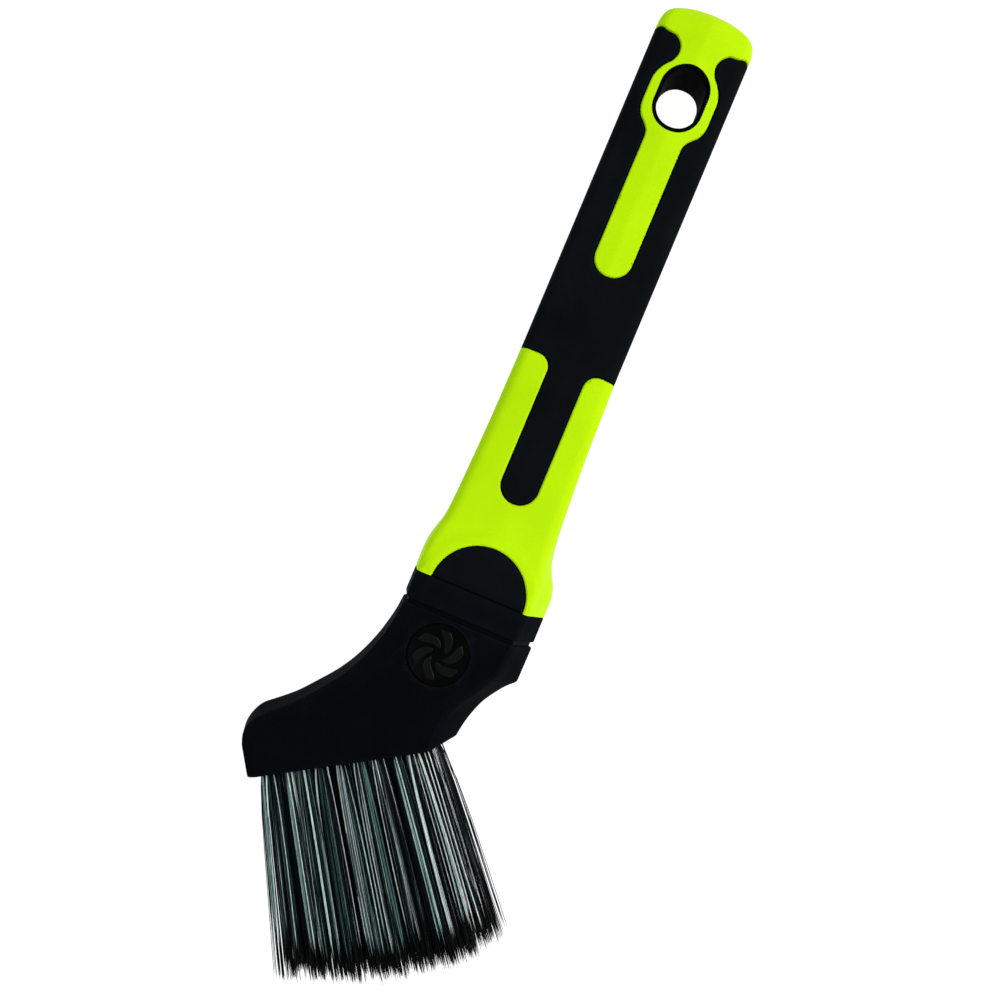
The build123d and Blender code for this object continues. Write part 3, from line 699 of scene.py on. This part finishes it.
def retriangulate(ob):
    """Large flat faces left by the cuts become sound, flat-shaded triangles."""
    bm = bmesh.new()
    bm.from_mesh(ob.data)
    for f in [f for f in bm.faces if len(f.verts) > 12 and abs(f.normal.z) > 0.9995]:
        ring = list(f.verts)
        n = len(ring)
        flat = [Vector((v.co.x * 1000, v.co.y * 1000)) for v in ring]
        if f.normal.z < 0:
            ring, flat = ring[::-1], flat[::-1]
        up = f.normal.z
        lo = [min(v[i] for v in flat) for i in (0, 1)]
        hi = [max(v[i] for v in flat) for i in (0, 1)]
        extra = [Vector((x, y)) for x in np.arange(lo[0] + 0.7, hi[0], 1.7) for y in np.arange(lo[1] + 0.7, hi[1], 1.7)]
        extra += [Vector((-48.1 + 8.95 * math.cos(a), 1.25 + 8.95 * math.sin(a))) for a in np.linspace(0, 2 * math.pi, 128, endpoint=False)]
        spots, _, tris, origin, _, _ = delaunay_2d_cdt(flat + extra, [(i, (i + 1) % n) for i in range(n)], [list(range(n))], 1, 1e-7)
        level = ring[0].co.z
        known = {}
        bm.faces.remove(f)
        for t in tris:
            for i in t:
                if i not in known:
                    own = [o for o in origin[i] if o < n]
                    known[i] = ring[own[0]] if own else bm.verts.new((spots[i].x / 1000, spots[i].y / 1000, level))
            vs = [known[i] for i in t]
            bm.faces.new(vs if up > 0 else vs[::-1]).smooth = False
    bm.normal_update()
    bm.to_mesh(ob.data)
    bm.free()


low2, mid2, top2 = head_loop(WALL_IN), head_loop(WALL_UP), head_loop(FACE_IN)
soft = top2
for _ in range(10):
    soft = 0.5 * soft + 0.25 * (np.roll(soft, 1, axis=0) + np.roll(soft, -1, axis=0))
cap2 = np.array(grow_outline([tuple(v) for v in soft], -0.6))
soft = cap2
for _ in range(10):
    soft = 0.5 * soft + 0.25 * (np.roll(soft, 1, axis=0) + np.roll(soft, -1, axis=0))
inner2 = np.array(grow_outline([tuple(v) for v in soft], -0.6))
A, B, C, D = at_z(low2, MID_Z), at_z(mid2, 29.0), at_z(top2, 30.0), at_z(cap2, 30.0)
half = [A] + [A + (B - A) * k / 6 for k in range(1, 6)]
half += bend(A, B, C, 0.9, 5)
half += bend(B, C, D, 0.5, 4)
half += [D, at_z(inner2, 30.0)]
mirror = [np.c_[p[:, :2], 2 * MID_Z - p[:, 2]] for p in half[1:]][::-1]
head = skin("head_casting", mirror + half)

T0P, T1P = -81.0, -28.4
mouth = [(T0P, -11.9), (T1P - 4.1, -11.9), (T1P, -5.4), (T1P, 5.4), (T1P - 4.1, 11.9), (T0P, 11.9)]
box_pts = []
for n, shift in ((66.3 - 15.8, 5.5), (56.0, 0.0), (67.6, 0.0)):
    for t, z in mouth:
        q = face_pt(t + (shift if t == T0P else 0.0), n)
        box_pts.append((q[0] * MM, q[1] * MM, (MID_Z + z) * MM))
pocket = new_object("pocket", box_pts, [tuple(range(6)), tuple(range(17, 11, -1))] + [(j + k, j + (k + 1) % 6, j + 6 + (k + 1) % 6, j + 6 + k) for j in (0, 6) for k in range(6)], smooth=False)
bm = bmesh.new()
bm.from_mesh(pocket.data)
bmesh.ops.recalc_face_normals(bm, faces=bm.faces)
bm.to_mesh(pocket.data)
bm.free()
seat = prism_object("seat", [(-48.1 + 8.66 * math.cos(a), 1.25 + 8.66 * math.sin(a)) for a in np.linspace(0, 2 * math.pi, 128, endpoint=False)], 29.2, 31.0)
boolean(head, pocket, "DIFFERENCE")
boolean(head, seat, "DIFFERENCE")
remove(pocket, seat)
smooth_by_angle(head, 40.0)
retriangulate(head)
finish_piece(head, HEAD)
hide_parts("head_shell")

RING = [(-22.6, 0), (-17.1, -14), (-16.4, -15), (12.2, -15), (15.4, -14), (16.9, 0), (15.4, 14), (12.2, 15), (-16.4, 15), (-17.1, 14)]


def ring_loop(inset, x, squash=1.0):
    pts = [(y, z * squash) for y, z in RING]
    n = len(pts)
    out = []
    rounds = [1.6, 0.5, 0.5, 0.9, 1.2, 1.6, 1.2, 0.9, 0.5, 0.5]
    for i in range(n):
        out += [tuple(v) for v in arc_points(pts[i - 1], pts[i], pts[(i + 1) % n], rounds[i], 6)]
        nxt = arc_points(pts[i], pts[(i + 1) % n], pts[(i + 2) % n], rounds[(i + 1) % n], 6)[0]
        last = np.array(out[-1])
        m = max(2, int(np.linalg.norm(nxt - last) / 0.8))
        out += [tuple(last + (nxt - last) * k / m) for k in range(1, m)]
    if inset:
        out = grow_outline(out, -inset)
    p = np.array(out)
    return np.c_[np.full(len(p), float(x)), p[:, 0], p[:, 1] + MID_Z]


collar = skin("collar_ring", [ring_loop(i, x) for x, i in ((-29.16, 0.42), (-29.2, 0.24), (-29.34, 0.09), (-29.6, 0.0), (-33.0, 0.0), (-36.4, 0.0), (-36.64, 0.09), (-36.78, 0.24), (-36.82, 0.42))])
smooth_by_angle(collar, 32.0)
finish_piece(collar, HEAD)
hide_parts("collar")
band = skin("collar_band", [ring_loop(0.85, -36.4), ring_loop(0.85, -39.2)])
smooth_by_angle(band, 32.0)
finish_piece(band, SEAM)

# badge: dished disc with a raised rim and a plain turbine of curved blades
BX, BY = -48.1, 1.25


def circle3(r, z, n=128):
    a = np.linspace(0, 2 * math.pi, n, endpoint=False)
    return np.c_[BX + r * np.cos(a), BY + r * np.sin(a), np.full(n, float(z))]


disc = skin("badge_plate", [circle3(r, z) for r, z in ((8.38, 29.25), (8.38, 29.84), (8.32, 29.95), (8.18, 30.0), (7.95, 30.0), (7.82, 29.93), (7.72, 29.86))])
smooth_by_angle(disc, 40.0)
finish_piece(disc, BADGE)
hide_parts("badge_disc")


def blade(turn):
    """Outline of one curved blade, in polar steps round the badge centre."""
    edge = []
    for s in np.linspace(0, 1, 26):
        edge.append((1.9 + 5.1 * s, turn + 0.95 * s ** 1.3))
    back = []
    for s in np.linspace(1, 0, 26):
        back.append((1.9 + 5.1 * s, turn + 0.95 * s ** 1.3 + 0.18 + 0.52 * math.sin(math.pi * min(1.0, 0.12 + 0.80 * s)) ** 0.8))
    return [(BX + r * math.cos(a), BY + r * math.sin(a)) for r, a in edge + back]


bv, bf = [], []
for i in range(6):
    line = even(blade(i * math.pi / 3) + [blade(i * math.pi / 3)[0]], 72)
    for _ in range(2):
        line = 0.5 * line + 0.25 * (np.roll(line, 1, axis=0) + np.roll(line, -1, axis=0))
    a = 0.5 * np.sum(line[:, 0] * np.roll(line[:, 1], -1) - np.roll(line[:, 0], -1) * line[:, 1])
    if a < 0:
        line = line[::-1]
    small = np.array(grow_outline([tuple(v) for v in line], -0.13))
    tiny = np.array(grow_outline([tuple(v) for v in line], -0.26))
    rings = [at_z(line, 29.8), at_z(line, 29.98), at_z(small, 30.07), at_z(tiny, 30.09)]
    o, m = len(bv), len(line)
    for r in rings:
        bv += [tuple(v * MM) for v in r]
    for k in range(len(rings) - 1):
        for q in range(m):
            bf.append((o + k * m + q, o + k * m + (q + 1) % m, o + (k + 1) * m + (q + 1) % m, o + (k + 1) * m + q))
    bf.append(tuple(o + q for q in reversed(range(m))))
    bf.append(tuple(o + 3 * m + q for q in range(m)))
blades = new_object("badge_blades", bv, bf)
smooth_by_angle(blades, 50.0)
finish_piece(blades, BLADES)

for node, mat in (("bristle_block", BLOCK), ("tuft_anchors", WIRE)):
    ob = nodes[node]
    for s in ob.material_slots:
        s.material = mat
    if not ob.material_slots:
        ob.data.materials.append(mat)

# ------------------------------------------------------------------ bristles
rng = np.random.default_rng(20240611)
N_DIR = np.array((NX, NY, 0.0))
T_DIR = np.array((TX, TY, 0.0))
FACE_N = 66.3 - 0.8
T0, T1 = T0P, T1P
PITCH, ROW = 5.0, 3.3


def place(t, n, z):
    return N_DIR * n + T_DIR * t + np.array((0.0, 0.0, MID_Z + z))


def tip_n(t):
    return 127.1 - 0.0043 * (t + 54.0) ** 2 + 0.045 * (t + 54.0)


def tip_t(t):
    share = (t - T0) / (T1 - T0)
    return t - 2.1 + 11.8 * share


class Strands:
    """Many thin tapered filaments gathered into one mesh, with a tone for each."""

    def __init__(self):
        self.verts, self.faces, self.tone = [], [], []

    def add(self, points, radii, sides, turn, tones):
        base = len(self.verts)
        m = len(points)
        for j in range(m):
            d = points[min(j + 1, m - 1)] - points[max(j - 1, 0)]
            d = d / np.linalg.norm(d)
            a = np.array((d[1], -d[0], 0.0))
            a /= np.linalg.norm(a)
            b = np.cross(d, a)
            for s in range(sides):
                w = turn + 2 * math.pi * s / sides
                self.verts.append(tuple((points[j] + radii[j] * (a * math.cos(w) + b * math.sin(w))) * MM))
                self.tone.append(tones[j])
        for j in range(m - 1):
            for s in range(sides):
                p, q = base + j * sides + s, base + j * sides + (s + 1) % sides
                self.faces.append((p, p + sides, q + sides, q))
        self.faces.append(tuple(base + s for s in range(sides)))
        self.faces.append(tuple(base + (m - 1) * sides + s for s in reversed(range(sides))))

    def build(self, name):
        ob = new_object(name, self.verts, self.faces)
        att = ob.data.color_attributes.new("strand", "FLOAT_COLOR", "POINT")
        att.data.foreach_set("color", np.array(self.tone, np.float32).ravel())
        return ob


def filament(out, tuft, offset, tip, tone, thick, bow, dark_len):
    """One filament: its tuft's line, its own place in the tuft, and its tip (t, z, n)."""
    n0 = FACE_N - 1.2
    length = tip[2] - n0
    k1 = 1.0 - (dark_len + 3.4) / length
    k2 = 1.0 - dark_len / length
    steps = [0.0, 0.10, 0.24, 0.45, 0.5 * (0.45 + k1), k1, k2, k2 + (1 - k2) * 0.55, 1.0]
    wob, r0, r1 = rng.uniform(0, 6.28), rng.uniform(), rng.uniform()
    pts, rad, tn = [], [], []
    for s in steps:
        flare = 1.0 - math.exp(-s / 0.16)
        c = 4 * s * (1 - s)
        own_t = tip[0] - (tuft[0] + (tuft[2] - tuft[0])) - offset[0]
        own_z = tip[1] - (tuft[1] + (tuft[3] - tuft[1])) - offset[1]
        mix = 0.62 * flare + 0.38 * s
        t = tuft[0] + (tuft[2] - tuft[0]) * s + offset[0] + own_t * mix + bow[0] * c + 0.04 * math.sin(8 * s + wob)
        z = tuft[1] + (tuft[3] - tuft[1]) * s + offset[1] + own_z * mix + bow[1] * c
        pts.append(place(t, n0 + length * s, z))
        taper = 1.0 - 0.22 * s if s <= k2 else (0.72 if s < 0.999 else 0.20)
        rad.append(thick * taper)
        tn.append((tone, 1.0 if s >= k2 - 1e-6 else 0.0, r0, 1.0))
    out.add(pts, rad, 3, r1 * 2, tn)


# tones run in narrow lanes across the brush, light beside dark
LANES = []
for i in range(400):
    LANES.append(rng.uniform(0.0, 0.52) if i % 2 else rng.uniform(0.32, 1.0))
for k in range(7):
    out = Strands()
    count = 10 if k % 2 == 0 else 9
    zr = (k - 3) * ROW
    for i in range(count - 1 if k in (0, 6) else count):
        tc = (T0 + T1) / 2 + (i - (count - 1) / 2) * PITCH
        right_edge, left_edge = i >= count - 2, i == 0
        lean = rng.normal(0, 0.35, 2)
        line = (tc, zr, tip_t(tc) + lean[0], zr * 1.16 + lean[1] * 0.5)
        clumps = 38 if not right_edge else 28
        for c in range(clumps):
            rr, aa = 1.46 * math.sqrt(rng.uniform()), rng.uniform(0, 2 * math.pi)
            ct, cz = rr * math.cos(aa), rr * math.sin(aa)
            et = line[2] + ct * (2.35 if right_edge else 2.1) + rng.normal(0, 0.42)
            if left_edge and rng.uniform() < 0.22:
                et -= rng.uniform(0.2, 1.3)
            ez = line[3] + cz * 1.5 + rng.normal(0, 0.35)
            cut = abs(rng.normal(0, 0.95))
            lane = int((tc + 100.0 + (et - tc) * 0.55) / 0.30) % len(LANES)
            u = rng.uniform() if rng.uniform() < 0.28 else LANES[lane]
            if right_edge:
                tone0 = rng.uniform(0.95, 1.0) if u > 0.52 else rng.uniform(0.0, 0.3)
            elif u < 0.49:
                tone0 = rng.uniform(0.0, 0.34)
            elif u < 0.67:
                tone0 = rng.uniform(0.52, 0.76)
            else:
                tone0 = rng.uniform(0.84, 1.0)
            bow0 = rng.normal(0, 0.24, 2)
            dark0 = rng.uniform(5.2, 10.5)
            for q in range(3):
                r2, a2 = 0.12 * math.sqrt(rng.uniform()), rng.uniform(0, 2 * math.pi)
                dt, dz = r2 * math.cos(a2), r2 * math.sin(a2)
                loose = 4.0 if rng.uniform() < 0.14 else 0.7
                te = et + dt * loose + rng.normal(0, 0.08)
                ze = float(np.clip(ez + dz * loose + rng.normal(0, 0.08), -14.3, 14.3))
                ne = tip_n(te) - cut - (0.0 if q == 0 else abs(rng.normal(0, 0.8)))
                if rng.uniform() < 0.04:
                    ne -= rng.uniform(1.0, 6.0)
                tone = tone0 + rng.normal(0, 0.03)
                if rng.uniform() < 0.08:
                    tone = rng.uniform(0.0, 1.0)
                dark = max(2.0, dark0 + rng.normal(0, 1.4))
                filament(out, line, (ct + dt, cz + dz), (te, ze, ne), float(np.clip(tone, 0, 1)), rng.uniform(0.105, 0.155), bow0 + rng.normal(0, 0.06, 2), dark)
        # loose filaments standing off the two ends of the row
        if i == count - 1 or left_edge:
            side = 1.0 if i == count - 1 else -1.0
            for _ in range(3 if side > 0 else 1):
                te = line[2] + side * (3.0 + rng.uniform(0.2, 2.0 if side > 0 else 1.2))
                ne = tip_n(te) - abs(rng.normal(0, 1.5))
                filament(out, line, (side * 1.3, rng.uniform(-1.0, 1.0)), (te, line[3] + rng.normal(0, 1.0), ne), rng.uniform(0.0, 0.35), 0.13, rng.normal(0, 0.2, 2), 4.0)
    ob = out.build("bristles_%d" % (k + 1))
    finish_piece(ob, FIBRE)
    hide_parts("tuft_row_%d" % (k + 1))

# ------------------------------------------------------------------ floor and light
floor = new_object("floor", [(-3, -3, -0.0004), (3, -3, -0.0004), (3, 3, -0.0004), (-3, 3, -0.0004)], [(0, 1, 2, 3)], smooth=False)
fm, ft, fb, fc = principled("floor paper")
fn = noise(ft, fc, 40.0, 3.0, 0.5)
fr = ramp(ft, fn.outputs["Fac"], [(0.3, grey(0.14)), (0.7, grey(0.17))])
ft.links.new(fr.outputs["Color"], fb.inputs["Base Color"])
fb.inputs["Roughness"].default_value = 0.9
fb.inputs["Specular IOR Level"].default_value = 0.1
fb.inputs["Emission Color"].default_value = (1, 1, 1, 1)
fb.inputs["Emission Strength"].default_value = 0.96
floor.data.materials.append(fm)

world = bpy.data.worlds.new("studio")
bpy.context.scene.world = world
world.use_nodes = True
bg = world.node_tree.nodes["Background"]
bg.inputs["Color"].default_value = (1.0, 1.0, 1.0, 1.0)
bg.inputs["Strength"].default_value = 0.14


def area(name, at, target, size, power, colour=(1, 1, 1)):
    data = bpy.data.lights.new(name, "AREA")
    data.shape = "RECTANGLE"
    data.size, data.size_y = size
    data.energy = power
    data.color = colour
    ob = bpy.data.objects.new(name, data)
    coll.objects.link(ob)
    ob.location = at
    ob.rotation_euler = (Vector(target) - Vector(at)).to_track_quat("-Z", "Y").to_euler()
    return ob


def img(r, u, z):
    """Point from image right, image up and height, in metres."""
    v = RIGHT * r + UP * u
    return (v.x, v.y, z)


area("key", img(0.80, 0.20, 0.80), (0, 0, 0.015), (0.6, 0.9), 12.0)
area("fill", img(-0.80, 0.15, 0.90), (0, 0, 0.015), (0.8, 1.0), 5.4, (0.78, 1.0, 0.96))
area("low", img(0.10, -0.95, 0.60), (0, 0, 0.015), (0.9, 0.6), 2.6)

scene = bpy.context.scene
scene.view_settings.view_transform = "Standard"
scene.view_settings.look = "None"
scene.view_settings.exposure = 0.0
scene.view_settings.gamma = 1.0
